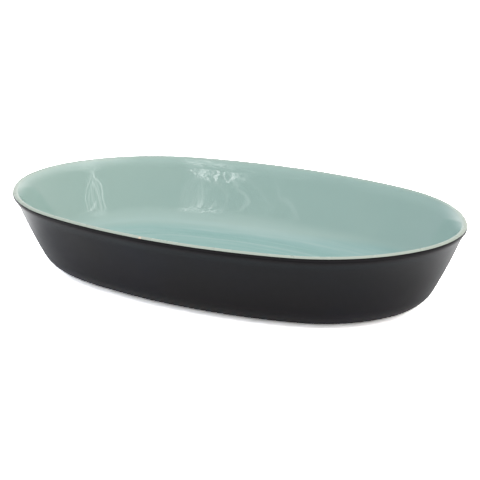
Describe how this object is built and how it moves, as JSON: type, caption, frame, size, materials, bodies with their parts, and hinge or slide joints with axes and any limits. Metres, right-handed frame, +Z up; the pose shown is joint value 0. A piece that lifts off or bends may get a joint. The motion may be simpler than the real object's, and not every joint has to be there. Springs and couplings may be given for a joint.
{
  "type": "ikebana suiban",
  "caption": "Low wide oval basin for flower arranging: celadon lining rolled over a rounded lip, satin black outside, bare clay foot ring.",
  "frame": {"origin": "middle of the footprint, on the surface that the foot ring stands on", "axes": "+Z up, out of the basin's mouth; +X along the basin's length; +Y across it, away from the front"},
  "size_m": [0.303, 0.1874, 0.052],
  "materials": {
    "fired_clay": "bare, fine grained",
    "celadon_glaze": "glossy",
    "black_glaze": "satin",
    "underside_glaze": "satin"
  },
  "bodies": {
    "root": {"stoneware_body": "fired_clay", "celadon_lining": "celadon_glaze", "black_coat": "black_glaze", "underside_glaze": "underside_glaze"}
  },
  "joints": []
}
